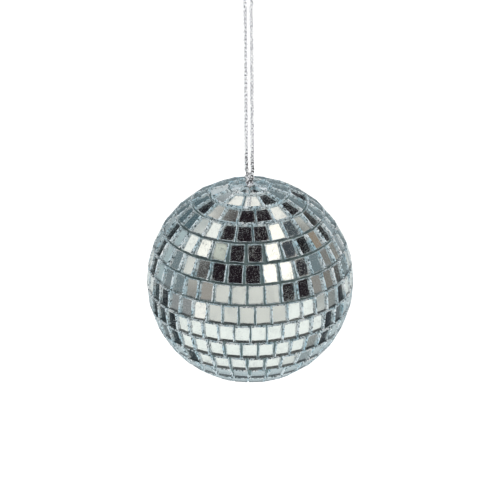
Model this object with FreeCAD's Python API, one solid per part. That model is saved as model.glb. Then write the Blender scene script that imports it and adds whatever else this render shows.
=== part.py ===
"""Small mirror ball on a metallic cord loop, in millimetres.

The origin is the centre of the ball and +Z is the axis it hangs on. From the inside out the ball is a foam
core, one gauze backing strip for each row of tiles, and the rows of glass tiles. The cord comes out of a
mouth at the top of the ball: its tails are glued into a hole in the core, its knot sits in the mouth, and
its loop goes up to a hook.
"""
import FreeCAD, Part
import math
import os
import random

Vector = FreeCAD.Vector

# ---- Ball ----
BALL_DIAMETER = 76.0          # over the outer faces of the tiles, at the middle of a tile
TILE_THICKNESS = 1.3          # glass, silvered on its back
BACKING_THICKNESS = 0.4       # gauze and glue under the middle of a tile

# ---- Tiles ----
TILE_WIDTH = 5.2              # along the row
TILE_HEIGHT = 6.65            # from row to row
TILE_GAP = 0.35               # least gap between two tile backs in one row
ROW_GAP = 0.5                 # least gap between the tile backs of two rows
WIDTH_SPREAD = (0.95, 1.0)    # hand-cut tiles come out this much of their nominal width
HEIGHT_SPREAD = (0.97, 1.0)   # and this much of their nominal height
TILE_TWIST_DEG = 1.0          # a tile is turned in its own plane by up to this much
TILE_SHIFT = 0.04             # and set off its place by up to this much
WEDGE_LATITUDE = 45.0         # rows nearer a pole than this have their tiles cut to wedges
POLE_PIECES = 8               # wedges that meet around each pole
LAYING_SEED = 21              # fixes how the hand-laid tiles fall

# ---- Mouth and hole ----
MOUTH_RADIUS = 2.45           # from the axis to the pole pieces and the backing
BOTTOM_POLE_RADIUS = 0.6      # from the axis to the bottom pieces' points
HOLE_RADIUS = 2.7             # drilled in the foam
HOLE_DEPTH = 15.0             # from the crown of the foam
GLUE_DROP = 0.5               # from the crown of the foam down to the glue

# ---- Cord ----
CORD_DIAMETER = 1.5
STRAND_OFFSET = 1.05          # from the axis to the middle of each strand
CORD_CLEARANCE = 0.3          # between the knot and the cord on either side of it
KNOT_RADIUS = 1.75
KNOT_RISE = 1.0               # of the knot's lower middle over the pole's tile faces
KNOT_HEIGHT = 4.0             # from there to the knot's top
KNOT_TOP_RADIUS = 1.2
TAIL_END_GAP = 2.0            # glue under the ends of the tails
STRAIGHT_LENGTH = 62.5        # of each strand, from the knot to where it starts to open
OPENING_LENGTH = 10.2         # from there up to the hook's shoulder
HOOK_WIRE_DIAMETER = 2.0      # of the hook that the loop is made to hang on

# ---- Worked out from the above ----
BALL_RADIUS = BALL_DIAMETER / 2
SEAT_RADIUS = BALL_RADIUS - TILE_THICKNESS          # the tile backs touch this sphere
CORE_RADIUS = SEAT_RADIUS - BACKING_THICKNESS
LEAST_PITCH_DEG = 2 * math.degrees(math.atan((TILE_HEIGHT + ROW_GAP) / (2 * SEAT_RADIUS)))
ROW_COUNT = int(180.0 / LEAST_PITCH_DEG)            # as many rows as fit from pole to pole
ROW_PITCH_DEG = 180.0 / ROW_COUNT
BACKING_RADIUS = math.hypot(SEAT_RADIUS, TILE_WIDTH / 2, TILE_HEIGHT / 2)   # reaches a tile's corners
CORD_RADIUS = CORD_DIAMETER / 2
PIVOT_Z = BALL_RADIUS + KNOT_RISE                   # the ball tilts and spins about this point
KNOT_TOP_Z = PIVOT_Z + KNOT_HEIGHT


def write(name, shape):
    """Saves one named sub-part."""
    shape.exportStep(f"parts/{name}.step")
    print(f"{name}: {len(shape.Solids)} solid(s), {shape.Volume:.1f} mm3")


def solid_from_faces(polygons):
    """A closed solid from flat polygons, each a list of points."""
    faces = [Part.Face(Part.makePolygon(points + points[:1])) for points in polygons]
    solid = Part.makeSolid(Part.makeShell(faces))
    if solid.Volume < 0:
        solid.reverse()
    return solid


# ---- Rows of tiles and their backing ----

def row_latitude(row):
    """Latitude of the middle of a row. Row 0 is at the top."""
    return 90.0 - ROW_PITCH_DEG * (row + 0.5)


def is_wedge_row(latitude):
    return abs(latitude) > WEDGE_LATITUDE


def tiles_in_row(latitude):
    """As many tiles as fit side by side in a row.

    Wedges are measured at their middle, other tiles where the row is narrowest.
    """
    angle = math.radians(abs(latitude))
    radius = SEAT_RADIUS * math.cos(angle)
    if not is_wedge_row(latitude):
        radius -= TILE_HEIGHT / 2 * math.sin(angle)
    return int(math.pi / math.atan((TILE_WIDTH + TILE_GAP) / (2 * radius)))


def seat_apothem(latitude, z):
    """Distance from the axis to the flat seats of a row at height z. Each seat touches the seat sphere."""
    angle = math.radians(latitude)
    return (SEAT_RADIUS - z * math.sin(angle)) / math.cos(angle)


def row_edges(row):
    """Latitudes of a row's two edges, lower first."""
    return 90.0 - ROW_PITCH_DEG * (row + 1), 90.0 - ROW_PITCH_DEG * row


def polygon_ring(apothem, z, sides, first_longitude):
    """Corners of a level polygon whose sides' middles are at the tiles' longitudes."""
    radius = apothem / math.cos(math.pi / sides)
    turns = [math.radians(first_longitude) + (2 * side - 1) * math.pi / sides for side in range(sides)]
    return [Vector(radius * math.cos(turn), radius * math.sin(turn), z) for turn in turns]


def shell_zone(low_latitude, high_latitude):
    """The part of a round shell on the foam that lies between two latitudes."""
    def at(radius, latitude):
        angle = math.radians(latitude)
        return Vector(radius * math.cos(angle), 0, radius * math.sin(angle))

    middle = (low_latitude + high_latitude) / 2
    profile = Part.Wire([
        Part.makeLine(at(CORE_RADIUS, low_latitude), at(BACKING_RADIUS, low_latitude)),
        Part.Arc(*[at(BACKING_RADIUS, lat) for lat in (low_latitude, middle, high_latitude)]).toShape(),
        Part.makeLine(at(BACKING_RADIUS, high_latitude), at(CORE_RADIUS, high_latitude)),
        Part.Arc(*[at(CORE_RADIUS, lat) for lat in (high_latitude, middle, low_latitude)]).toShape(),
    ])
    return Part.Face(profile).revolve(Vector(0, 0, 0), Vector(0, 0, 1), 360)


def backing_strip(row, sides, first_longitude, end_radius=0.0):
    """A ring of gauze, flat under each tile and round where it lies on the foam.

    At a pole, where the flat seats close in on the axis, they end at end_radius from it.
    """
    latitude = row_latitude(row)
    edges = row_edges(row)
    radii = (CORE_RADIUS, BACKING_RADIUS)
    levels = [radius * math.sin(math.radians(edge)) for radius in radii for edge in edges]
    if end_radius:
        angle = math.radians(latitude)
        crown_z = (SEAT_RADIUS - end_radius * math.cos(angle)) / math.sin(angle)
        levels = [math.copysign(min(abs(level), abs(crown_z)), level) for level in levels]
    z_low = min(levels)
    z_high = max(levels)
    low = polygon_ring(seat_apothem(latitude, z_low), z_low, sides, first_longitude)
    high = polygon_ring(seat_apothem(latitude, z_high), z_high, sides, first_longitude)
    walls = [
        [low[side], low[(side + 1) % sides], high[(side + 1) % sides], high[side]]
        for side in range(sides)
    ]
    return shell_zone(*edges).common(solid_from_faces(walls + [low, high]))


def lay_tile(outline, latitude, longitude):
    """A glass prism on its seat. The outline's x runs along the row and its y towards the top."""
    lat = math.radians(latitude)
    lon = math.radians(longitude)
    normal = Vector(math.cos(lat) * math.cos(lon), math.cos(lat) * math.sin(lon), math.sin(lat))
    along = Vector(-math.sin(lon), math.cos(lon), 0)
    up = normal.cross(along)
    centre = normal * SEAT_RADIUS
    corners = [centre + along * x + up * y for x, y in outline]
    face = Part.Face(Part.makePolygon(corners + corners[:1]))
    return face.extrude(normal * TILE_THICKNESS)


def square_outline():
    """A whole tile's outline, as corners (x, y)."""
    half_width = TILE_WIDTH / 2
    half_height = TILE_HEIGHT / 2
    return [
        (-half_width, -half_height),
        (half_width, -half_height),
        (half_width, half_height),
        (-half_width, half_height),
    ]


def wedge_outline(latitude, count, outer_y, inner_y):
    """A tile's outline cut to a wedge, with an even gap to the tiles beside it.

    Its y is towards the near pole.
    """
    angle = math.radians(abs(latitude))
    poleward = math.copysign(1, latitude)

    def half_width(y):
        radius = SEAT_RADIUS * math.cos(angle) - y * math.sin(angle)
        return radius * math.tan(math.pi / count) - TILE_GAP / 2

    outer_half = half_width(outer_y)
    inner_half = half_width(inner_y)
    return [
        (-outer_half, outer_y * poleward),
        (outer_half, outer_y * poleward),
        (inner_half, inner_y * poleward),
        (-inner_half, inner_y * poleward),
    ]


def wide_end(latitude, count):
    """Where a row's wedges end on their wide side: its corners reach past the row by the row gap at most."""
    angle = math.radians(abs(latitude))
    radius = SEAT_RADIUS * math.cos(angle) + TILE_HEIGHT / 2 * math.sin(angle)
    reach = radius / math.cos(math.pi / count) - radius
    return max(0.0, reach - ROW_GAP) / math.sin(angle) - TILE_HEIGHT / 2


def hand_laid(outline, random_source):
    """The outline of one tile as it was cut and stuck: a little small, turned and off its place."""
    width_share = random_source.uniform(*WIDTH_SPREAD)
    height_share = random_source.uniform(*HEIGHT_SPREAD)
    twist = math.radians(random_source.uniform(-TILE_TWIST_DEG, TILE_TWIST_DEG))
    shift_x = random_source.uniform(-TILE_SHIFT, TILE_SHIFT)
    shift_y = random_source.uniform(-TILE_SHIFT, TILE_SHIFT)
    laid = []
    for corner_x, corner_y in outline:
        x = corner_x * width_share
        y = corner_y * height_share
        laid.append((
            x * math.cos(twist) - y * math.sin(twist) + shift_x,
            x * math.sin(twist) + y * math.cos(twist) + shift_y,
        ))
    return laid


def build_full_row(row, random_source):
    """One strip of backing and the tiles on it."""
    latitude = row_latitude(row)
    count = tiles_in_row(latitude)
    spacing = 360.0 / count
    first_longitude = random_source.uniform(0, spacing)
    write(f"backing_strip_{row:02d}", backing_strip(row, count, first_longitude))
    if is_wedge_row(latitude):
        outline = wedge_outline(latitude, count, wide_end(latitude, count), TILE_HEIGHT / 2)
    else:
        outline = square_outline()
    tiles = [
        lay_tile(hand_laid(outline, random_source), latitude, first_longitude + spacing * tile)
        for tile in range(count)
    ]
    write(f"mirror_row_{row:02d}", Part.makeCompound(tiles))


def build_pole(name, row, inner_radius):
    """The round patch of backing at a pole and the wedges on it, which stop short of the axis."""
    latitude = row_latitude(row)
    angle = math.radians(abs(latitude))
    spacing = 360.0 / POLE_PIECES
    patch = backing_strip(row, POLE_PIECES, spacing / 2, inner_radius)
    if latitude > 0:
        patch = patch.cut(Part.makeCylinder(MOUTH_RADIUS, BALL_DIAMETER))
    write(f"{name}_backing", patch)
    patch_radius = SEAT_RADIUS * math.sin(math.radians(ROW_PITCH_DEG))
    outer_radius = patch_radius * math.cos(math.pi / POLE_PIECES)
    outer_y = (SEAT_RADIUS * math.cos(angle) - outer_radius) / math.sin(angle)
    inner_y = (SEAT_RADIUS * math.cos(angle) - inner_radius) / math.sin(angle)
    outline = wedge_outline(latitude, POLE_PIECES, outer_y, inner_y)
    tiles = [lay_tile(outline, latitude, spacing * (piece + 0.5)) for piece in range(POLE_PIECES)]
    write(f"{name}_tiles", Part.makeCompound(tiles))


# ---- Foam, glue and cord ----

def strand_centres():
    """Where the two strands of the cord are, beside the axis."""
    return [-STRAND_OFFSET, STRAND_OFFSET]


def drilled_hole():
    """The hole in the foam, from its floor up through the crown."""
    floor_z = CORE_RADIUS - HOLE_DEPTH
    return Part.makeCylinder(HOLE_RADIUS, HOLE_DEPTH + BACKING_THICKNESS, Vector(0, 0, floor_z))


def cord_tails():
    """The two cut ends of the cord, from under the knot down into the glue."""
    low_z = CORE_RADIUS - HOLE_DEPTH + TAIL_END_GAP
    high_z = PIVOT_Z - KNOT_RADIUS - CORD_CLEARANCE
    tails = [Part.makeCylinder(CORD_RADIUS, high_z - low_z, Vector(x, 0, low_z)) for x in strand_centres()]
    return Part.makeCompound(tails)


def glue_plug(tails):
    """Hot-melt glue that fills the hole around the tails."""
    floor_z = CORE_RADIUS - HOLE_DEPTH
    plug = Part.makeCylinder(HOLE_RADIUS, HOLE_DEPTH - GLUE_DROP, Vector(0, 0, floor_z))
    return plug.cut(tails)


def cord_knot():
    """The knot's outer shape: round below, where the ball tilts about it, and drawn out above."""
    bottom = Vector(0, 0, PIVOT_Z - KNOT_RADIUS)
    slope = math.sqrt(0.5)
    lower = Vector(KNOT_RADIUS * slope, 0, PIVOT_Z - KNOT_RADIUS * slope)
    widest = Vector(KNOT_RADIUS, 0, PIVOT_Z)
    bulge = Vector((KNOT_RADIUS + KNOT_TOP_RADIUS) / 2 + CORD_RADIUS / 4, 0, PIVOT_Z + KNOT_HEIGHT * 0.55)
    top_edge = Vector(KNOT_TOP_RADIUS, 0, KNOT_TOP_Z)
    top = Vector(0, 0, KNOT_TOP_Z)
    profile = Part.Wire([
        Part.Arc(bottom, lower, widest).toShape(),
        Part.Arc(widest, bulge, top_edge).toShape(),
        Part.makeLine(top_edge, top),
        Part.makeLine(top, bottom),
    ])
    return Part.Face(profile).revolve(Vector(0, 0, 0), Vector(0, 0, 1), 360)


def loop_route():
    """The points that the cord's loop turns at: up one strand, over the hook and down the other."""
    start_z = KNOT_TOP_Z + CORD_CLEARANCE
    open_z = start_z + STRAIGHT_LENGTH
    hook_radius = (HOOK_WIRE_DIAMETER + CORD_DIAMETER) / 2
    corner = hook_radius * math.tan(math.radians(30)) / 0.45
    shoulder_x = corner * math.cos(math.radians(30))
    shoulder_z = open_z + OPENING_LENGTH
    crown_z = shoulder_z + corner / 2
    return [
        Vector(-STRAND_OFFSET, 0, start_z),
        Vector(-STRAND_OFFSET, 0, open_z),
        Vector(-shoulder_x, 0, shoulder_z),
        Vector(0, 0, crown_z),
        Vector(shoulder_x, 0, shoulder_z),
        Vector(STRAND_OFFSET, 0, open_z),
        Vector(STRAND_OFFSET, 0, start_z),
    ]


def tube_along(points, radius):
    """A round tube along straight runs joined by tangent arcs."""
    edges = []
    start = points[0]
    for before, corner, after in zip(points, points[1:], points[2:]):
        run_in = corner - before
        run_out = after - corner
        turn = run_in.getAngle(run_out)
        setback = 0.45 * min(run_in.Length, run_out.Length)
        arc_radius = setback / math.tan(turn / 2)
        print(f"cord turns {math.degrees(turn):.1f} degrees on a radius of {arc_radius:.2f} mm")
        into = corner - run_in * (setback / run_in.Length)
        out_of = corner + run_out * (setback / run_out.Length)
        towards_centre = (into + out_of) * 0.5 - corner
        to_centre = arc_radius / math.cos(turn / 2)
        middle = corner + towards_centre * ((to_centre - arc_radius) / towards_centre.Length)
        edges.append(Part.makeLine(start, into))
        edges.append(Part.Arc(into, middle, out_of).toShape())
        start = out_of
    edges.append(Part.makeLine(start, points[-1]))
    path = Part.Wire(edges)
    section = Part.Wire([Part.makeCircle(radius, points[0], points[1] - points[0])])
    tube = path.makePipeShell([section], True, False)
    by_length = math.pi * radius**2 * path.Length
    print(f"cord is {path.Length:.1f} mm long")
    print(f"tube {tube.Volume:.1f} mm3, section by length {by_length:.1f} mm3")
    return tube


# ---- The whole ball ----

os.makedirs("parts", exist_ok=True)
laying = random.Random(LAYING_SEED)

write("foam_core", Part.makeSphere(CORE_RADIUS).cut(drilled_hole()))
build_pole("top_pole", 0, MOUTH_RADIUS)
for row_number in range(1, ROW_COUNT - 1):
    build_full_row(row_number, laying)
build_pole("bottom_pole", ROW_COUNT - 1, BOTTOM_POLE_RADIUS)
tail_pair = cord_tails()
write("cord_tails", tail_pair)
write("glue_plug", glue_plug(tail_pair))
write("cord_knot", cord_knot())
write("cord_loop", tube_along(loop_route(), CORD_RADIUS))
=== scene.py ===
"""Looks of the small mirror ball: glass tiles on gauze over foam, hung on a knotted metallic cord."""
import math
import random

import bpy
import numpy as np
from mathutils import Matrix, Vector


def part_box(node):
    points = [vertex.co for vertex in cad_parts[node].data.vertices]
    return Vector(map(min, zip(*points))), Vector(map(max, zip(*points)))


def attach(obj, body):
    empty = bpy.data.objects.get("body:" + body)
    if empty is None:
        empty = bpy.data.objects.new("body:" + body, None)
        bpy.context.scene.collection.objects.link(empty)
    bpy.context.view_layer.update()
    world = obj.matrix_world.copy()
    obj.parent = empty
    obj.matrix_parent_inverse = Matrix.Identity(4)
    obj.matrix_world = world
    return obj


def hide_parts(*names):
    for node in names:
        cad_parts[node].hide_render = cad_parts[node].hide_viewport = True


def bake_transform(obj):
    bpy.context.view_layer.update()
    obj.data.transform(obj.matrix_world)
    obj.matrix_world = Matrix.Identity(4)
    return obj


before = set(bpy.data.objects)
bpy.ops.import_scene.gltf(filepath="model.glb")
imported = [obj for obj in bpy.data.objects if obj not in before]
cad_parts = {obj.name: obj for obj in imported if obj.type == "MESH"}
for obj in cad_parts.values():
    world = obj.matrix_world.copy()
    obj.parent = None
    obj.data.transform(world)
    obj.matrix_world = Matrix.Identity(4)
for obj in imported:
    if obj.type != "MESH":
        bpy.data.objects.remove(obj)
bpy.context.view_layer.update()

MM = 0.001

# ---- Sizes: lengths in metres ----
TILE_THICKNESS = 1.3 * MM
ARRIS = 0.09 * MM                # the small flat where a cut edge meets the glass face
EDGE_WAVE = 0.11 * MM            # how far a hand-cut edge strays from straight
TILE_TILT_DEG = 0.9              # how far a tile's face leans from its seat
FACE_SHARE = 0.972               # the clear face against the outline of the wall under it
WELD_DISTANCE = 2e-6
GLUE_FILM = 0.02 * MM            # least glue under a tile's lowest corner
PAINTED_EDGE_GLOW = 0.40               # painted light: glow on the cut edges, standing in for the light that the glass carries along inside itself to them
PAINTED_FOIL_GLINT = 0.45                # painted glint: glow on the foil, standing in for the light that its many small facets throw back from the lamps
STITCH_PITCH = 1.45 * MM
WALES = 4                        # columns of stitches around the cord
STITCH_WOBBLE = 0.16             # how far a stitch turns off its place, in radians
CORE_RADIUS = 0.42 * MM          # of the black yarn inside
LOOSE_STITCH = (0.56 * MM, 0.2 * MM, STITCH_PITCH)              # radius it lies on, yarn radius, pitch
TIGHT_STITCH = (0.5 * MM, 0.19 * MM, STITCH_PITCH * 0.85)
POINT_SPACING = 0.15 * MM        # least distance between two points that the knitting follows
KNOT_SPAN = (0.95 * MM, 0.75 * MM, 2.5 * MM)    # half sizes of the knot's winding along X, Y and Z
KNOT_CENTRE = Vector((0, 0, 40.15 * MM))
KNOT_STEPS = 96
TAIL_INSET = 0.3 * MM            # of the knitting's ends from the ends of a tail
LAYING_SEED = 4

# Lines of the cord, in millimetres. Each half is laid twice, once for each strand.
STRAND_X = 1.05
LOOP_FOOT_Z = 43.3
HALF_LOOP = [(STRAND_X, 0, LOOP_FOOT_Z), (STRAND_X, 0, 98.0), (STRAND_X, 0, 105.8), (1.9445, 0, 116.0)]
LOOP_CROWN = (0, 0, 117.123)
STRAND_INTO_KNOT = [(STRAND_X, 0, 44.2), (0.98, 0.05, 43.4), (0.72, 0.3, 42.5), (0.3, 0.45, 41.4)]
TAIL_INTO_KNOT = [(0.92, -0.1, 38.3), (0.75, -0.25, 38.8), (0.35, -0.4, 39.5)]

BALL_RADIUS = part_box("mirror_row_07")[1].x


# ---- Small helpers ----

def link(obj):
    bpy.context.scene.collection.objects.link(obj)
    return obj


def mesh_object(name, vertices, faces):
    mesh = bpy.data.meshes.new(name)
    mesh.from_pydata([tuple(v) for v in vertices], [], faces)
    mesh.update()
    return link(bpy.data.objects.new(name, mesh))


def fill_inputs(tree, node, inputs):
    """Sets a node's inputs, each given as a value or as a socket to link."""
    for name, value in inputs.items():
        if isinstance(value, bpy.types.NodeSocket):
            tree.links.new(value, node.inputs[name])
        else:
            node.inputs[name].default_value = value


def add_node(tree, kind, inputs=None, **settings):
    """A node with its settings, and its inputs given as values or as sockets to link."""
    node = tree.nodes.new(kind)
    for name, value in settings.items():
        setattr(node, name, value)
    fill_inputs(tree, node, inputs or {})
    return node


def math_node(tree, operation, first, second=0.0, third=0.0):
    return add_node(tree, "ShaderNodeMath", {0: first, 1: second, 2: third}, operation=operation).outputs[0]


def vector_node(tree, operation, inputs):
    return add_node(tree, "ShaderNodeVectorMath", inputs, operation=operation).outputs


def new_tree(name, kind, inputs, outputs):
    """A node group with named inputs (name, socket type, default) and outputs (name, socket type)."""
    tree = bpy.data.node_groups.new(name, kind)
    for label, socket_type, default in inputs:
        socket = tree.interface.new_socket(label, in_out="INPUT", socket_type=socket_type)
        if default is not None:
            socket.default_value = default
    for label, socket_type in outputs:
        tree.interface.new_socket(label, in_out="OUTPUT", socket_type=socket_type)
    return tree, tree.nodes.new("NodeGroupInput"), tree.nodes.new("NodeGroupOutput")


def apply_nodes(obj, tree, values):
    """Runs a Geometry Nodes tree on obj and keeps the plain mesh that it makes."""
    modifier = obj.modifiers.new("build", "NODES")
    modifier.node_group = tree
    for item in tree.interface.items_tree:
        if item.item_type == "SOCKET" and item.in_out == "INPUT" and item.name in values:
            modifier[item.identifier] = values[item.name]
    bpy.context.view_layer.update()
    evaluated = obj.evaluated_get(bpy.context.evaluated_depsgraph_get())
    mesh = bpy.data.meshes.new_from_object(evaluated)
    obj.modifiers.remove(modifier)
    obj.data = mesh
    mesh.name = obj.name
    return obj


def new_material(name):
    material = bpy.data.materials.new(name)
    material.use_nodes = True
    tree = material.node_tree
    return material, tree, tree.nodes["Principled BSDF"]


def use_group(tree, group, inputs):
    return add_node(tree, "ShaderNodeGroup", inputs, node_tree=group)


def blend_colours(tree, factor, first, second):
    return add_node(tree, "ShaderNodeMix", {0: factor, 6: first, 7: second}, data_type="RGBA").outputs[2]


def ramp(tree, value, low, high):
    """Where a value lies between low and high, from 0 to 1."""
    node = add_node(tree, "ShaderNodeMapRange", {"Value": value, "From Min": low, "From Max": high})
    return node.outputs[0]


def own_place(tree):
    return add_node(tree, "ShaderNodeTexCoord").outputs["Object"]


def raise_surface(tree, shader, height, strength, depth):
    """Bump from a height mask; depth is how high 1 stands."""
    bump = add_node(tree, "ShaderNodeBump", {"Height": height, "Strength": strength, "Distance": depth})
    tree.links.new(bump.outputs[0], shader.inputs["Normal"])


# ---- Shared shader groups ----

def speckle_group():
    """Scattered specks: a mask of small dots, some large, some small."""
    tree, given, out = new_tree(
        "speckle", "ShaderNodeTree",
        [("Vector", "NodeSocketVector", None), ("Scale", "NodeSocketFloat", 900.0),
         ("Amount", "NodeSocketFloat", 0.4)],
        [("Mask", "NodeSocketFloat")],
    )
    where = given.outputs["Vector"]
    cells = add_node(tree, "ShaderNodeTexVoronoi", {"Vector": where, "Scale": given.outputs["Scale"]})
    patches = add_node(tree, "ShaderNodeTexNoise", {"Vector": where, "Scale": 230.0, "Detail": 3.0})
    reach = math_node(tree, "MULTIPLY", given.outputs["Amount"], patches.outputs[0])
    inside = math_node(tree, "SUBTRACT", reach, cells.outputs["Distance"])
    tree.links.new(ramp(tree, inside, 0.0, 0.08), out.inputs["Mask"])
    return tree


def drift_group():
    """A slow drift between two values over the surface, with finer grain on top."""
    tree, given, out = new_tree(
        "drift", "ShaderNodeTree",
        [("Vector", "NodeSocketVector", None), ("Scale", "NodeSocketFloat", 120.0),
         ("Low", "NodeSocketFloat", 0.0), ("High", "NodeSocketFloat", 1.0)],
        [("Value", "NodeSocketFloat"), ("Mask", "NodeSocketFloat")],
    )
    noise = add_node(tree, "ShaderNodeTexNoise", {
        "Vector": given.outputs["Vector"], "Scale": given.outputs["Scale"], "Detail": 5.0, "Roughness": 0.62})
    mask = ramp(tree, noise.outputs[0], 0.3, 0.7)
    spread = add_node(tree, "ShaderNodeMapRange", {
        "Value": mask, "To Min": given.outputs["Low"], "To Max": given.outputs["High"]})
    tree.links.new(spread.outputs[0], out.inputs["Value"])
    tree.links.new(mask, out.inputs["Mask"])
    return tree


def weave_group():
    """Open gauze weave: crossed threads as a height."""
    tree, given, out = new_tree(
        "weave", "ShaderNodeTree",
        [("Vector", "NodeSocketVector", None), ("Threads", "NodeSocketFloat", 1400.0)],
        [("Height", "NodeSocketFloat")],
    )
    heights = []
    for direction in ("X", "Y", "Z"):
        wave = add_node(tree, "ShaderNodeTexWave", {
            "Vector": given.outputs["Vector"], "Scale": given.outputs["Threads"],
            "Distortion": 1.2, "Detail": 1.0, "Detail Scale": 3.0}, bands_direction=direction)
        heights.append(wave.outputs["Fac"])
    crossed = math_node(tree, "MAXIMUM", heights[0], heights[1])
    crossed = math_node(tree, "MAXIMUM", crossed, heights[2])
    tree.links.new(crossed, out.inputs["Height"])
    return tree


SPECKLE = speckle_group()
DRIFT = drift_group()
WEAVE = weave_group()


# ---- Materials ----

def clear_glass():
    material, tree, shader = new_material("tile_glass")
    where = own_place(tree)
    smear = use_group(tree, DRIFT, {"Vector": where, "Scale": 260.0, "Low": 0.0, "High": 0.022})
    shader.inputs["Base Color"].default_value = (0.965, 0.985, 0.972, 1)
    shader.inputs["Transmission Weight"].default_value = 1.0
    shader.inputs["IOR"].default_value = 1.5
    tree.links.new(smear.outputs["Value"], shader.inputs["Roughness"])
    return material


def tile_silver():
    """The silvered back of a tile: bright, faintly uneven, pin-specked and darker where its rim creeps."""
    material, tree, shader = new_material("tile_silver")
    where = own_place(tree)
    specks = use_group(tree, SPECKLE, {"Vector": where, "Scale": 2600.0, "Amount": 0.62})
    cloud = use_group(tree, DRIFT, {"Vector": where, "Scale": 420.0, "Low": 0.012, "High": 0.05})
    rim = add_node(tree, "ShaderNodeAttribute", attribute_name="rim").outputs["Fac"]
    creep = use_group(tree, DRIFT, {"Vector": where, "Scale": 900.0, "Low": 0.0, "High": 0.55})
    darkened = math_node(tree, "MULTIPLY", math_node(tree, "POWER", rim, 4.0), creep.outputs["Value"])
    marks = math_node(tree, "MAXIMUM", math_node(tree, "MULTIPLY", specks.outputs["Mask"], 0.6), darkened)
    colour = blend_colours(tree, marks, (0.95, 0.955, 0.94, 1), (0.50, 0.55, 0.58, 1))
    rough = math_node(tree, "MULTIPLY_ADD", marks, 0.75, cloud.outputs["Value"])
    shader.inputs["Metallic"].default_value = 1.0
    tree.links.new(colour, shader.inputs["Base Color"])
    tree.links.new(rough, shader.inputs["Roughness"])
    return material


def ground_edge():
    """The cut wall of a tile: frosted sea-green glass with cutter streaks and dark chips, painted near black
    as shade where it faces down, and glowing with painted light.
    """
    material, tree, shader = new_material("tile_cut_edge")
    where = own_place(tree)
    streaks = use_group(tree, DRIFT, {"Vector": where, "Scale": 1300.0, "Low": 0.0, "High": 1.0})
    broad = use_group(tree, DRIFT, {"Vector": where, "Scale": 260.0, "Low": 0.0, "High": 1.0})
    light = blend_colours(tree, broad.outputs["Mask"], (0.38, 0.56, 0.64, 1), (1.0, 1.0, 1.0, 1))
    chips = ramp(tree, streaks.outputs["Mask"], 0.27, 0.53)
    colour = blend_colours(tree, chips, (0.03, 0.06, 0.07, 1), light)
    # painted shade: cut walls that face down are painted near black
    facing_down = add_node(tree, "ShaderNodeAttribute", attribute_name="facing_down").outputs["Fac"]
    colour = blend_colours(tree, ramp(tree, facing_down, 0.4, 0.7), colour, (0.012, 0.02, 0.024, 1))
    # painted light: the wall's colour also glows, in place of light carried to it through the glass
    tree.links.new(colour, shader.inputs["Emission Color"])
    shader.inputs["Emission Strength"].default_value = PAINTED_EDGE_GLOW
    tree.links.new(colour, shader.inputs["Base Color"])
    raise_surface(tree, shader, streaks.outputs["Mask"], 0.6, 0.08 * MM)
    shader.inputs["Roughness"].default_value = 0.38
    shader.inputs["IOR"].default_value = 1.5
    return material


def backing_gauze():
    material, tree, shader = new_material("backing_gauze")
    where = own_place(tree)
    threads = use_group(tree, WEAVE, {"Vector": where, "Threads": 520.0})
    glue = use_group(tree, DRIFT, {"Vector": where, "Scale": 340.0, "Low": 0.35, "High": 0.8})
    cloth = blend_colours(tree, threads.outputs["Height"], (0.05, 0.08, 0.085, 1), (0.34, 0.44, 0.45, 1))
    colour = blend_colours(tree, glue.outputs["Mask"], cloth, (0.22, 0.29, 0.29, 1))
    tree.links.new(colour, shader.inputs["Base Color"])
    tree.links.new(glue.outputs["Value"], shader.inputs["Roughness"])
    raise_surface(tree, shader, threads.outputs["Height"], 0.8, 0.1 * MM)
    return material


def bead_foam():
    material, tree, shader = new_material("bead_foam")
    where = own_place(tree)
    beads = add_node(tree, "ShaderNodeTexVoronoi", {"Vector": where, "Scale": 330.0},
                     feature="DISTANCE_TO_EDGE")
    seam = ramp(tree, beads.outputs["Distance"], 0.0, 0.12)
    tint = use_group(tree, DRIFT, {"Vector": where, "Scale": 90.0, "Low": 0.55, "High": 0.75})
    light = blend_colours(tree, tint.outputs["Mask"], (0.83, 0.83, 0.80, 1), (0.92, 0.92, 0.90, 1))
    colour = blend_colours(tree, seam, (0.55, 0.55, 0.53, 1), light)
    tree.links.new(colour, shader.inputs["Base Color"])
    tree.links.new(tint.outputs["Value"], shader.inputs["Roughness"])
    raise_surface(tree, shader, seam, 0.7, 0.3 * MM)
    return material


def hot_glue():
    material, tree, shader = new_material("hot_glue")
    where = own_place(tree)
    pooled = use_group(tree, DRIFT, {"Vector": where, "Scale": 500.0, "Low": 0.12, "High": 0.3})
    colour = blend_colours(tree, pooled.outputs["Mask"], (0.62, 0.55, 0.38, 1), (0.80, 0.76, 0.62, 1))
    tree.links.new(colour, shader.inputs["Base Color"])
    tree.links.new(pooled.outputs["Value"], shader.inputs["Roughness"])
    raise_surface(tree, shader, pooled.outputs["Mask"], 0.4, 0.2 * MM)
    shader.inputs["Subsurface Weight"].default_value = 0.3
    return material


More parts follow.
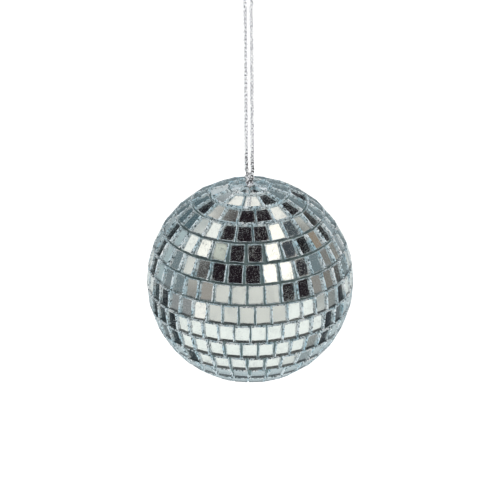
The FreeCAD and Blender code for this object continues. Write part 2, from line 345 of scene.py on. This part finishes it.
def foil_yarn():
    """Foil-wrapped yarn: crinkled bright foil with a painted glint, painted highlight on its crests and
    painted shade in its folds, and darker from 52 mm of height down to 46 mm and below, where the knot is
    tied.
    """
    material, tree, shader = new_material("silver_foil_yarn")
    where = own_place(tree)
    crinkle = use_group(tree, DRIFT, {"Vector": where, "Scale": 1700.0, "Low": 0.18, "High": 0.4})
    # painted highlight on the crinkle's crests and painted shade in its folds
    lit_crests = ramp(tree, crinkle.outputs["Mask"], 0.42, 0.58)
    height = add_node(tree, "ShaderNodeSeparateXYZ", {0: where}).outputs["Z"]
    # darker from 52 mm of height down to 46 mm and below
    darkened = add_node(tree, "ShaderNodeMapRange", {
        "Value": height, "From Min": 46 * MM, "From Max": 52 * MM, "To Min": 1.0, "To Max": 0.0})
    bright = blend_colours(tree, lit_crests, (0.50, 0.50, 0.54, 1), (0.98, 0.98, 0.99, 1))
    dull = blend_colours(tree, lit_crests, (0.012, 0.010, 0.014, 1), (0.93, 0.94, 0.97, 1))
    colour = blend_colours(tree, darkened.outputs[0], bright, dull)
    tree.links.new(colour, shader.inputs["Base Color"])
    # painted glint: the foil's colour also glows
    tree.links.new(colour, shader.inputs["Emission Color"])
    tree.links.new(crinkle.outputs["Value"], shader.inputs["Roughness"])
    raise_surface(tree, shader, crinkle.outputs["Mask"], 0.4, 0.05 * MM)
    shader.inputs["Metallic"].default_value = 0.35
    shader.inputs["Emission Strength"].default_value = PAINTED_FOIL_GLINT
    return material


def core_yarn():
    """The black yarn inside the cord that shows between the stitches."""
    material, tree, shader = new_material("black_core_yarn")
    where = own_place(tree)
    lint = use_group(tree, DRIFT, {"Vector": where, "Scale": 5200.0, "Low": 0.6, "High": 0.9})
    colour = blend_colours(tree, lint.outputs["Mask"], (0.008, 0.007, 0.009, 1), (0.06, 0.055, 0.06, 1))
    tree.links.new(colour, shader.inputs["Base Color"])
    tree.links.new(lint.outputs["Value"], shader.inputs["Roughness"])
    raise_surface(tree, shader, lint.outputs["Mask"], 0.5, 0.04 * MM)
    return material


GLASS = clear_glass()
SILVER = tile_silver()
CUT_EDGE = ground_edge()
GAUZE = backing_gauze()
FOAM = bead_foam()
GLUE = hot_glue()
FOIL = foil_yarn()
CORE_YARN = core_yarn()


# ---- Glass tiles ----

def tile_tree():
    """From flat outlines to cut glass tiles: wavy rim, walls, arris, clear face and silvered back."""
    tree, given, out = new_tree(
        "cut_glass_tiles", "GeometryNodeTree",
        [("Outlines", "NodeSocketGeometry", None), ("Thickness", "NodeSocketFloat", TILE_THICKNESS),
         ("Arris", "NodeSocketFloat", ARRIS), ("Face share", "NodeSocketFloat", FACE_SHARE),
         ("Edge wave", "NodeSocketFloat", EDGE_WAVE), ("Seed", "NodeSocketInt", 1),
         ("Face glass", "NodeSocketMaterial", None), ("Cut edge", "NodeSocketMaterial", None),
         ("Silver", "NodeSocketMaterial", None)],
        [("Tiles", "NodeSocketGeometry")],
    )
    fine = add_node(tree, "GeometryNodeSubdivideMesh", {"Mesh": given.outputs["Outlines"], "Level": 2})
    faces_beside = add_node(tree, "GeometryNodeInputMeshEdgeNeighbors").outputs[0]
    on_edge = add_node(tree, "FunctionNodeCompare", {2: faces_beside, 3: 1},
                       data_type="INT", operation="EQUAL").outputs[0]
    rim = add_node(tree, "GeometryNodeFieldOnDomain", {0: on_edge},
                   data_type="BOOLEAN", domain="EDGE").outputs[0]
    marked = add_node(tree, "GeometryNodeStoreNamedAttribute", {
        "Geometry": fine.outputs[0], "Name": "rim", "Value": rim}, data_type="FLOAT", domain="POINT")
    stray = add_node(tree, "FunctionNodeRandomValue", {
        0: (-1, -1, -1), 1: (1, 1, 1), "Seed": given.outputs["Seed"]}, data_type="FLOAT_VECTOR").outputs[0]
    normal = add_node(tree, "GeometryNodeInputNormal").outputs[0]
    lift = vector_node(tree, "DOT_PRODUCT", {0: stray, 1: normal})["Value"]
    out_of_plane = vector_node(tree, "SCALE", {0: normal, "Scale": lift})[0]
    in_plane = vector_node(tree, "SUBTRACT", {0: stray, 1: out_of_plane})[0]
    wave = vector_node(tree, "SCALE", {0: in_plane, "Scale": given.outputs["Edge wave"]})[0]
    wavy = add_node(tree, "GeometryNodeSetPosition", {
        "Geometry": marked.outputs[0], "Selection": rim, "Offset": wave})
    wall_height = math_node(tree, "SUBTRACT", given.outputs["Thickness"], given.outputs["Arris"])
    walls = add_node(tree, "GeometryNodeExtrudeMesh", {
        "Mesh": wavy.outputs[0], "Offset Scale": wall_height, "Individual": False}, mode="FACES")
    arris = add_node(tree, "GeometryNodeExtrudeMesh", {
        "Mesh": walls.outputs["Mesh"], "Selection": walls.outputs["Top"],
        "Offset Scale": given.outputs["Arris"], "Individual": False}, mode="FACES")
    faces = add_node(tree, "GeometryNodeScaleElements", {
        "Geometry": arris.outputs["Mesh"], "Selection": arris.outputs["Top"],
        "Scale": given.outputs["Face share"]}, domain="FACE")
    cut = add_node(tree, "GeometryNodeSetMaterial", {
        "Geometry": faces.outputs[0], "Material": given.outputs["Cut edge"]})
    glazed = add_node(tree, "GeometryNodeSetMaterial", {
        "Geometry": cut.outputs[0], "Selection": arris.outputs["Top"],
        "Material": given.outputs["Face glass"]})
    back = add_node(tree, "GeometryNodeFlipFaces", {"Mesh": wavy.outputs[0]})
    silvered = add_node(tree, "GeometryNodeSetMaterial", {
        "Geometry": back.outputs[0], "Material": given.outputs["Silver"]})
    both = add_node(tree, "GeometryNodeJoinGeometry")
    tree.links.new(silvered.outputs[0], both.inputs[0])
    tree.links.new(glazed.outputs[0], both.inputs[0])
    closed = add_node(tree, "GeometryNodeMergeByDistance", {
        "Geometry": both.outputs[0], "Distance": WELD_DISTANCE})
    # How far each face points down, stored for the painted shade on the tiles' lower cut walls.
    upward = add_node(tree, "ShaderNodeSeparateXYZ", {0: normal}).outputs["Z"]
    downward = math_node(tree, "MULTIPLY", upward, -1.0)
    shaded = add_node(tree, "GeometryNodeStoreNamedAttribute", {
        "Geometry": closed.outputs[0], "Name": "facing_down", "Value": downward},
        data_type="FLOAT", domain="FACE")
    flat = add_node(tree, "GeometryNodeSetShadeSmooth", {
        "Geometry": shaded.outputs[0], "Shade Smooth": False})
    real = add_node(tree, "GeometryNodeRealizeInstances", {"Geometry": flat.outputs[0]})
    tree.links.new(real.outputs[0], out.inputs["Tiles"])
    return tree


def tile_outlines(node_name):
    """Each tile's back outline in a CAD node: four corners, anticlockwise seen from outside."""
    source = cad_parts[node_name].data
    points = np.array([v.co for v in source.vertices])
    keys = {}
    merged = [keys.setdefault(tuple(np.round(p, 7)), len(keys)) for p in points]
    spots = np.array(list(keys))
    parent = list(range(len(spots)))

    def root(index):
        while parent[index] != index:
            parent[index] = parent[parent[index]]
            index = parent[index]
        return index

    for polygon in source.polygons:
        corners = [merged[v] for v in polygon.vertices]
        for corner in corners[1:]:
            parent[root(corner)] = root(corners[0])
    islands = {}
    for index in range(len(spots)):
        islands.setdefault(root(index), []).append(spots[index])
    outlines = []
    for corners in islands.values():
        corners = np.array(corners)
        normal = Vector(corners.mean(0)).normalized()
        heights = corners @ np.array(normal)
        back = [Vector(c) for c in corners[np.argsort(heights)[:4]]]
        centre = sum(back, Vector()) / 4
        side = (back[0] - centre).normalized()
        other = normal.cross(side)
        back.sort(key=lambda c: math.atan2((c - centre).dot(other), (c - centre).dot(side)))
        outlines.append((centre, normal, back))
    outlines.sort(key=lambda tile: math.atan2(tile[0].y, tile[0].x))
    return outlines


def build_tiles(node_name, tree, seed):
    laying = random.Random(seed)
    vertices, faces = [], []
    for centre, normal, corners in tile_outlines(node_name):
        along = Vector((-normal.y, normal.x, 0)).normalized()
        up = normal.cross(along)
        lean = Matrix.Rotation(math.radians(laying.gauss(0, TILE_TILT_DEG)), 3, along)
        lean = lean @ Matrix.Rotation(math.radians(laying.gauss(0, TILE_TILT_DEG)), 3, up)
        leaned = [centre + lean @ (corner - centre) for corner in corners]
        dip = min((corner - centre).dot(normal) for corner in leaned)
        start = len(vertices)
        vertices += [corner + normal * (GLUE_FILM - dip) for corner in leaned]
        faces.append([start, start + 1, start + 2, start + 3])
    piece = mesh_object(node_name + "_glass", vertices, faces)
    apply_nodes(piece, tree, {"Seed": seed, "Face glass": GLASS, "Cut edge": CUT_EDGE, "Silver": SILVER})
    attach(piece, "ball")
    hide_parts(node_name)


# ---- Stitched cord ----

def spline_curve(name, points):
    """A smooth NURBS line through the air with the points as its control points."""
    curve = bpy.data.curves.new(name, "CURVE")
    curve.dimensions = "3D"
    curve.resolution_u = 24
    spline = curve.splines.new("NURBS")
    spline.points.add(len(points) - 1)
    for point, place in zip(spline.points, points):
        point.co = (*place, 1)
    spline.order_u = 3
    spline.use_endpoint_u = True
    return link(bpy.data.objects.new(name, curve))


def followed_points(curve_object):
    """The points of a curve's own line, read from it."""
    bpy.context.view_layer.update()
    mesh = bpy.data.meshes.new_from_object(curve_object.evaluated_get(bpy.context.evaluated_depsgraph_get()))
    points = [mesh.vertices[0].co.copy()]
    for vertex in mesh.vertices:
        if (vertex.co - points[-1]).length > POINT_SPACING:
            points.append(vertex.co.copy())
    bpy.data.meshes.remove(mesh)
    return points


def stitch_mesh(name, wale_radius, yarn_radius, pitch):
    """One leg pair of a knitted stitch, a bent yarn in the shape of a V that leans on the cord's side.

    X runs along the cord, Y across it and Z outwards.
    """
    rows, sides = 7, 6
    vertices, faces = [], []
    for hand in (-1, 1):
        start = len(vertices)
        for row in range(rows):
            t = row / (rows - 1)
            centre = Vector((
                (t * 1.15 - 0.1) * pitch,
                hand * wale_radius * (0.14 + 0.62 * t),
                wale_radius * (0.72 + 0.34 * math.sin(math.pi * t)),
            ))
            swell = yarn_radius * (0.5 + 0.5 * math.sin(math.pi * t))
            for side in range(sides):
                turn = 2 * math.pi * side / sides
                across, outwards = swell * 1.25 * math.cos(turn), swell * 0.8 * math.sin(turn)
                vertices.append(centre + Vector((0, across, outwards)))
        for row in range(rows - 1):
            for side in range(sides):
                a = start + row * sides + side
                b = start + row * sides + (side + 1) % sides
                faces.append([a, b, b + sides, a + sides])
        faces.append([start + side for side in reversed(range(sides))])
        faces.append([start + (rows - 1) * sides + side for side in range(sides)])
    stitch = mesh_object(name, vertices, faces)
    stitch.hide_render = True
    return stitch


def cord_tree():
    """A knitted cord along a path: a dark core with V stitches in wales around it."""
    tree, given, out = new_tree(
        "knitted_cord", "GeometryNodeTree",
        [("Path", "NodeSocketGeometry", None), ("Core radius", "NodeSocketFloat", CORE_RADIUS),
         ("Stitch", "NodeSocketObject", None), ("Stitch pitch", "NodeSocketFloat", STITCH_PITCH),
         ("Wales", "NodeSocketInt", WALES), ("Seed", "NodeSocketInt", 3),
         ("Foil", "NodeSocketMaterial", None), ("Core", "NodeSocketMaterial", None)],
        [("Cord", "NodeSocketGeometry")],
    )
    line = add_node(tree, "GeometryNodeMeshToCurve", {"Mesh": given.outputs["Path"]})
    ring = add_node(tree, "GeometryNodeCurvePrimitiveCircle", {
        "Resolution": 10, "Radius": given.outputs["Core radius"]})
    core = add_node(tree, "GeometryNodeCurveToMesh", {
        "Curve": line.outputs[0], "Profile Curve": ring.outputs[0], "Fill Caps": True})
    core_done = add_node(tree, "GeometryNodeSetMaterial", {
        "Geometry": core.outputs[0], "Material": given.outputs["Core"]})
    stations = add_node(tree, "GeometryNodeCurveToPoints", {
        "Curve": line.outputs[0], "Length": given.outputs["Stitch pitch"]}, mode="LENGTH")
    every = add_node(tree, "GeometryNodeDuplicateElements", {
        "Geometry": stations.outputs["Points"], "Amount": given.outputs["Wales"]}, domain="POINT")
    share = math_node(tree, "DIVIDE", every.outputs["Duplicate Index"], given.outputs["Wales"])
    turn = math_node(tree, "MULTIPLY", share, 2 * math.pi)
    wobble = add_node(tree, "FunctionNodeRandomValue", {
        2: -STITCH_WOBBLE, 3: STITCH_WOBBLE, "Seed": given.outputs["Seed"]}, data_type="FLOAT")
    turn = math_node(tree, "ADD", turn, wobble.outputs[1])
    to_tangent = add_node(tree, "FunctionNodeAlignRotationToVector", {
        "Vector": stations.outputs["Tangent"]}, axis="X")
    about = add_node(tree, "FunctionNodeAxisAngleToRotation", {"Axis": (1, 0, 0), "Angle": turn})
    whole = add_node(tree, "FunctionNodeRotateRotation", {
        "Rotation": to_tangent.outputs[0], "Rotate By": about.outputs[0]}, rotation_space="LOCAL")
    stitch = add_node(tree, "GeometryNodeObjectInfo", {
        "Object": given.outputs["Stitch"]}, transform_space="ORIGINAL")
    knit = add_node(tree, "GeometryNodeInstanceOnPoints", {
        "Points": every.outputs["Geometry"], "Instance": stitch.outputs["Geometry"],
        "Rotation": whole.outputs[0]})
    foil = add_node(tree, "GeometryNodeSetMaterial", {
        "Geometry": knit.outputs[0], "Material": given.outputs["Foil"]})
    both = add_node(tree, "GeometryNodeJoinGeometry")
    tree.links.new(foil.outputs[0], both.inputs[0])
    tree.links.new(core_done.outputs[0], both.inputs[0])
    real = add_node(tree, "GeometryNodeRealizeInstances", {"Geometry": both.outputs[0]})
    smooth = add_node(tree, "GeometryNodeSetShadeSmooth", {"Geometry": real.outputs[0], "Shade Smooth": True})
    tree.links.new(smooth.outputs[0], out.inputs["Cord"])
    return tree


def knit_along(name, paths, tree, stitch):
    """A knitted cord piece over one or more separate paths."""
    vertices, edges = [], []
    for path in paths:
        start = len(vertices)
        vertices += path
        edges += [(start + i, start + i + 1) for i in range(len(path) - 1)]
    mesh = bpy.data.meshes.new(name)
    mesh.from_pydata([tuple(v) for v in vertices], edges, [])
    piece = link(bpy.data.objects.new(name, mesh))
    return apply_nodes(piece, tree, {"Stitch": stitch, "Foil": FOIL, "Core": CORE_YARN})


def strand_line(points, side):
    """One strand's line in metres; side is 1 for the strand at +X and -1 for the other."""
    return [Vector((side * x, side * y, z)) * MM for x, y, z in points]


def build_cord():
    tree = cord_tree()
    stitch = stitch_mesh("stitch", *LOOSE_STITCH)
    route = strand_line(HALF_LOOP, -1) + [Vector(LOOP_CROWN) * MM] + strand_line(HALF_LOOP, 1)[::-1]
    guide = spline_curve("cord_line", route)
    path = followed_points(guide)
    bpy.data.objects.remove(guide)
    loop = knit_along("cord_loop_knit", [path], tree, stitch)
    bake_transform(loop)
    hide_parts("cord_loop")

    tight = stitch_mesh("tight_stitch", *TIGHT_STITCH)
    winding = [knot_point(2 * math.pi * step / KNOT_STEPS) for step in range(KNOT_STEPS + 1)]
    strand_ends = []
    for side in (-1, 1):
        strand_ends += [strand_line(STRAND_INTO_KNOT, side), strand_line(TAIL_INTO_KNOT, side)]
    knot = knit_along("cord_knot_knit", [winding] + strand_ends, tree, tight)
    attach(knot, "knot")
    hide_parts("cord_knot")

    tails_low, tails_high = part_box("cord_tails")
    tail_heights = (tails_high.z - TAIL_INSET, (tails_high.z + tails_low.z) / 2, tails_low.z + TAIL_INSET)
    tail_paths = [[Vector((side * STRAND_X * MM, 0, z)) for z in tail_heights] for side in (-1, 1)]
    tails = knit_along("cord_tails_knit", tail_paths, tree, stitch)
    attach(tails, "ball")
    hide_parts("cord_tails")
    bpy.data.objects.remove(stitch)
    bpy.data.objects.remove(tight)
    return loop, knot, path


def knot_point(t):
    """A point of the overhand knot's winding, drawn out along the cord."""
    half_x, half_y, half_z = KNOT_SPAN
    return KNOT_CENTRE + Vector((
        half_x * (math.sin(t) + 2 * math.sin(2 * t)) / 2.76,
        half_y * -math.sin(3 * t),
        half_z * (math.cos(t) - 2 * math.cos(2 * t)) / 3.0,
    ))


# ---- Studio ----

CAMERA_ELEVATION_DEG = 25.5
CAMERA_DISTANCE = 16 * BALL_RADIUS
CAMERA_AIM_UP_DEG = 1.02         # the ball sits a little low in the frame
CAMERA_ROLL_DEG = -0.4
LENS_MM = 118.6


def build_camera():
    elevation = math.radians(CAMERA_ELEVATION_DEG)
    data = bpy.data.cameras.new("camera")
    data.lens = LENS_MM
    data.sensor_width = 36.0
    data.clip_start = 0.01
    camera = link(bpy.data.objects.new("camera", data))
    place = Vector((0, -math.cos(elevation), math.sin(elevation))) * CAMERA_DISTANCE
    pitch = math.pi / 2 - elevation + math.radians(CAMERA_AIM_UP_DEG)
    turn = Matrix.Rotation(pitch, 4, "X") @ Matrix.Rotation(math.radians(CAMERA_ROLL_DEG), 4, "Z")
    camera.matrix_world = Matrix.Translation(place) @ turn
    bpy.context.scene.camera = camera


def softbox_group():
    """How much of a soft-edged panel lies in a direction given by azimuth and elevation, in degrees."""
    tree, given, out = new_tree(
        "panel", "ShaderNodeTree",
        [("Azimuth", "NodeSocketFloat", 0.0), ("Elevation", "NodeSocketFloat", 0.0),
         ("Middle azimuth", "NodeSocketFloat", 0.0), ("Half width", "NodeSocketFloat", 20.0),
         ("Middle elevation", "NodeSocketFloat", 0.0), ("Half height", "NodeSocketFloat", 20.0),
         ("Soft edge", "NodeSocketFloat", 3.0)],
        [("Mask", "NodeSocketFloat")],
    )
    masks = []
    for angle, middle, half in (("Azimuth", "Middle azimuth", "Half width"),
                                ("Elevation", "Middle elevation", "Half height")):
        away = math_node(tree, "SUBTRACT", given.outputs[angle], given.outputs[middle])
        away = math_node(tree, "WRAP", away, 180.0, -180.0)
        away = math_node(tree, "ABSOLUTE", away)
        inside = math_node(tree, "SUBTRACT", given.outputs[half], away)
        shaded = add_node(tree, "ShaderNodeMapRange", {
            "Value": inside, "From Min": 0.0, "From Max": given.outputs["Soft edge"]},
            interpolation_type="SMOOTHSTEP")
        masks.append(shaded.outputs[0])
    tree.links.new(math_node(tree, "MULTIPLY", masks[0], masks[1]), out.inputs["Mask"])
    return tree


# Panels around the ball: middle azimuth from the camera's side (right is positive) and half width, middle
# elevation and half height, soft edge, all in degrees, and the colour of the light that it sends.
PANELS = [
    ("floor in front", 0, 180, -52, 44, 4, (0.90, 0.945, 0.925)),
    ("back wall", 180, 112, 18, 40, 12, (0.17, 0.22, 0.245)),
    ("floor behind", 180, 62, -56, 36, 10, (0.52, 0.61, 0.65)),
    ("low wall, left", -84, 26, -12, 10, 3, (0.27, 0.28, 0.29)),
    ("low wall, right", 86, 22, -2, 17, 3, (0.28, 0.27, 0.26)),
    ("dark beside, left", -122, 16, -24, 38, 5, (0.030, 0.042, 0.050)),
    ("dark beside, right", 112, 18, -36, 34, 5, (0.035, 0.04, 0.048)),
    ("left wall, teal", -132, 30, 18, 28, 8, (0.08, 0.13, 0.155)),
    ("right wall, warm", 118, 30, 16, 28, 8, (0.20, 0.19, 0.175)),
    ("back ceiling light", 180, 70, 58, 10, 4, (0.95, 0.94, 0.90)),
    ("left softbox", -87, 29, 44, 22, 5, (0.93, 0.95, 0.92)),
    ("left softbox, bright side", -73, 9, 22, 26, 4, (1.05, 1.04, 0.98)),
    ("left softbox, near side", -57, 9, 54, 9, 3, (0.60, 0.64, 0.58)),
    ("table top", -3, 42, -2, 19, 4, (0.68, 0.69, 0.66)),
    ("table top, warm", -47, 13, 3, 14, 6, (0.34, 0.32, 0.30)),
    ("table, white edge", 37, 4, 8, 16, 2, (0.98, 0.98, 0.95)),
    ("table, white edge left", -52, 8, -10, 9, 3, (1.0, 0.99, 0.95)),
    ("stand, dark", 48, 6, 9, 10, 2, (0.018, 0.015, 0.018)),
    ("stand, foot", 60, 5, -10, 11, 2, (0.022, 0.018, 0.02)),
    ("stand, arm", 67, 5, 8, 10, 2, (0.02, 0.02, 0.025)),
    ("right softbox", 43, 24, 43, 23, 2, (1.28, 1.23, 1.13)),
    ("right softbox, high", 76, 19, 67, 11, 3, (1.2, 1.16, 1.06)),
    ("ceiling, grey patch", 4, 14, 72, 5, 4, (0.16, 0.15, 0.17)),
    ("ceiling, grey patch left", -50, 9, 74, 6, 5, (0.22, 0.22, 0.24)),
    ("beside the softbox", 75, 8, 40, 20, 3, (0.06, 0.07, 0.085)),
    ("window strip", 101, 5, 14, 14, 2, (0.52, 0.62, 0.70)),
    ("stand, black", 93, 4, 40, 14, 1, (0.012, 0.012, 0.014)),
    ("warm strip", 111, 6, 30, 18, 2, (0.30, 0.25, 0.20)),
    ("pale strip", 122, 3, 22, 26, 1.5, (0.85, 0.86, 0.82)),
    ("black strip", 130, 4, 8, 36, 1.5, (0.02, 0.02, 0.022)),
    ("blue strip", 143, 5, 12, 30, 2, (0.30, 0.36, 0.40)),
    ("left stand", -107, 4, 0, 44, 1.5, (0.02, 0.024, 0.03)),
    ("left pale strip", -117, 4, 6, 34, 2, (0.42, 0.52, 0.55)),
    ("left black strip", -136, 6, 0, 44, 1.5, (0.015, 0.018, 0.022)),
    ("bright window behind", 176, 9, 27, 6, 2, (0.78, 0.84, 0.90)),
    ("black rail behind", 180, 40, 36, 3, 1.5, (0.014, 0.012, 0.016)),
    ("pale rail behind", -164, 5, 22, 16, 2, (0.60, 0.66, 0.70)),
    ("black post behind", 158, 4, 24, 20, 1.5, (0.016, 0.014, 0.018)),
    ("black beam, right", 140, 9, 46, 9, 2, (0.014, 0.012, 0.014)),
    ("black beam, behind", 168, 11, 50, 6, 2, (0.02, 0.02, 0.024)),
    ("grey beam, behind left", -160, 12, 44, 5, 2, (0.05, 0.06, 0.08)),
    ("black beam, left", -128, 7, 58, 6, 2, (0.016, 0.016, 0.02)),
    ("left far strip", -150, 4, 4, 40, 2, (0.36, 0.43, 0.46)),
]
DARK_STUDIO = (0.016, 0.012, 0.016)
FLOOR_DROP = 1.0        # of the floor under the hanging ball, in metres
FLOOR_HALF = 8.0


def build_world():
    world = bpy.data.worlds.new("studio")
    bpy.context.scene.world = world
    world.use_nodes = True
    tree = world.node_tree
    tree.nodes.clear()
    panel = softbox_group()
    where = add_node(tree, "ShaderNodeTexCoord").outputs["Generated"]
    axes = add_node(tree, "ShaderNodeSeparateXYZ", {0: where})
    toward_camera = math_node(tree, "MULTIPLY", axes.outputs["Y"], -1.0)
    azimuth = math_node(tree, "ARCTAN2", axes.outputs["X"], toward_camera)
    azimuth = math_node(tree, "DEGREES", azimuth)
    elevation = math_node(tree, "DEGREES", math_node(tree, "ARCSINE", axes.outputs["Z"]))
    colour = (*DARK_STUDIO, 1)
    for label, middle, half_width, height, half_height, soft, light in PANELS:
        mask = use_group(tree, panel, {
            "Azimuth": azimuth, "Elevation": elevation, "Middle azimuth": middle, "Half width": half_width,
            "Middle elevation": height, "Half height": half_height, "Soft edge": soft})
        mask.label = label
        colour = blend_colours(tree, mask.outputs[0], colour, (*light, 1))
    seen = add_node(tree, "ShaderNodeLightPath").outputs["Is Camera Ray"]
    colour = blend_colours(tree, seen, colour, (1, 1, 1, 1))
    background = add_node(tree, "ShaderNodeBackground", {"Color": colour})
    out = add_node(tree, "ShaderNodeOutputWorld")
    tree.links.new(background.outputs[0], out.inputs[0])


def build_floor():
    """A plain pale floor far under the hanging ball. The tiles mirror the panels in its place."""
    corners = [(x * FLOOR_HALF, y * FLOOR_HALF, -FLOOR_DROP) for x, y in ((-1, -1), (1, -1), (1, 1), (-1, 1))]
    mesh = bpy.data.meshes.new("pale_floor")
    mesh.from_pydata(corners, [], [(0, 1, 2, 3)])
    floor = bpy.data.objects.new("pale_floor", mesh)
    bpy.context.scene.collection.objects.link(floor)
    material, _, shader = new_material("pale_floor")
    shader.inputs["Emission Color"].default_value = (1, 1, 1, 1)
    shader.inputs["Emission Strength"].default_value = 1.0
    mesh.materials.append(material)
    floor.visible_glossy = floor.visible_transmission = floor.visible_diffuse = floor.visible_shadow = False


# ---- Put together ----

def paint(node_name, material):
    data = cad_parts[node_name].data
    data.materials.clear()
    data.materials.append(material)


build_camera()
build_world()
build_floor()
bpy.context.scene.view_settings.view_transform = "Standard"
bpy.context.scene.cycles.use_denoising = True

cord, knot_piece, cord_path = build_cord()
tiles = tile_tree()
for number, node_name in enumerate(sorted(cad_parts)):
    if node_name.startswith("mirror_row") or node_name.endswith("_tiles"):
        build_tiles(node_name, tiles, LAYING_SEED + number)
    elif "backing" in node_name:
        paint(node_name, GAUZE)
paint("foam_core", FOAM)
paint("glue_plug", GLUE)
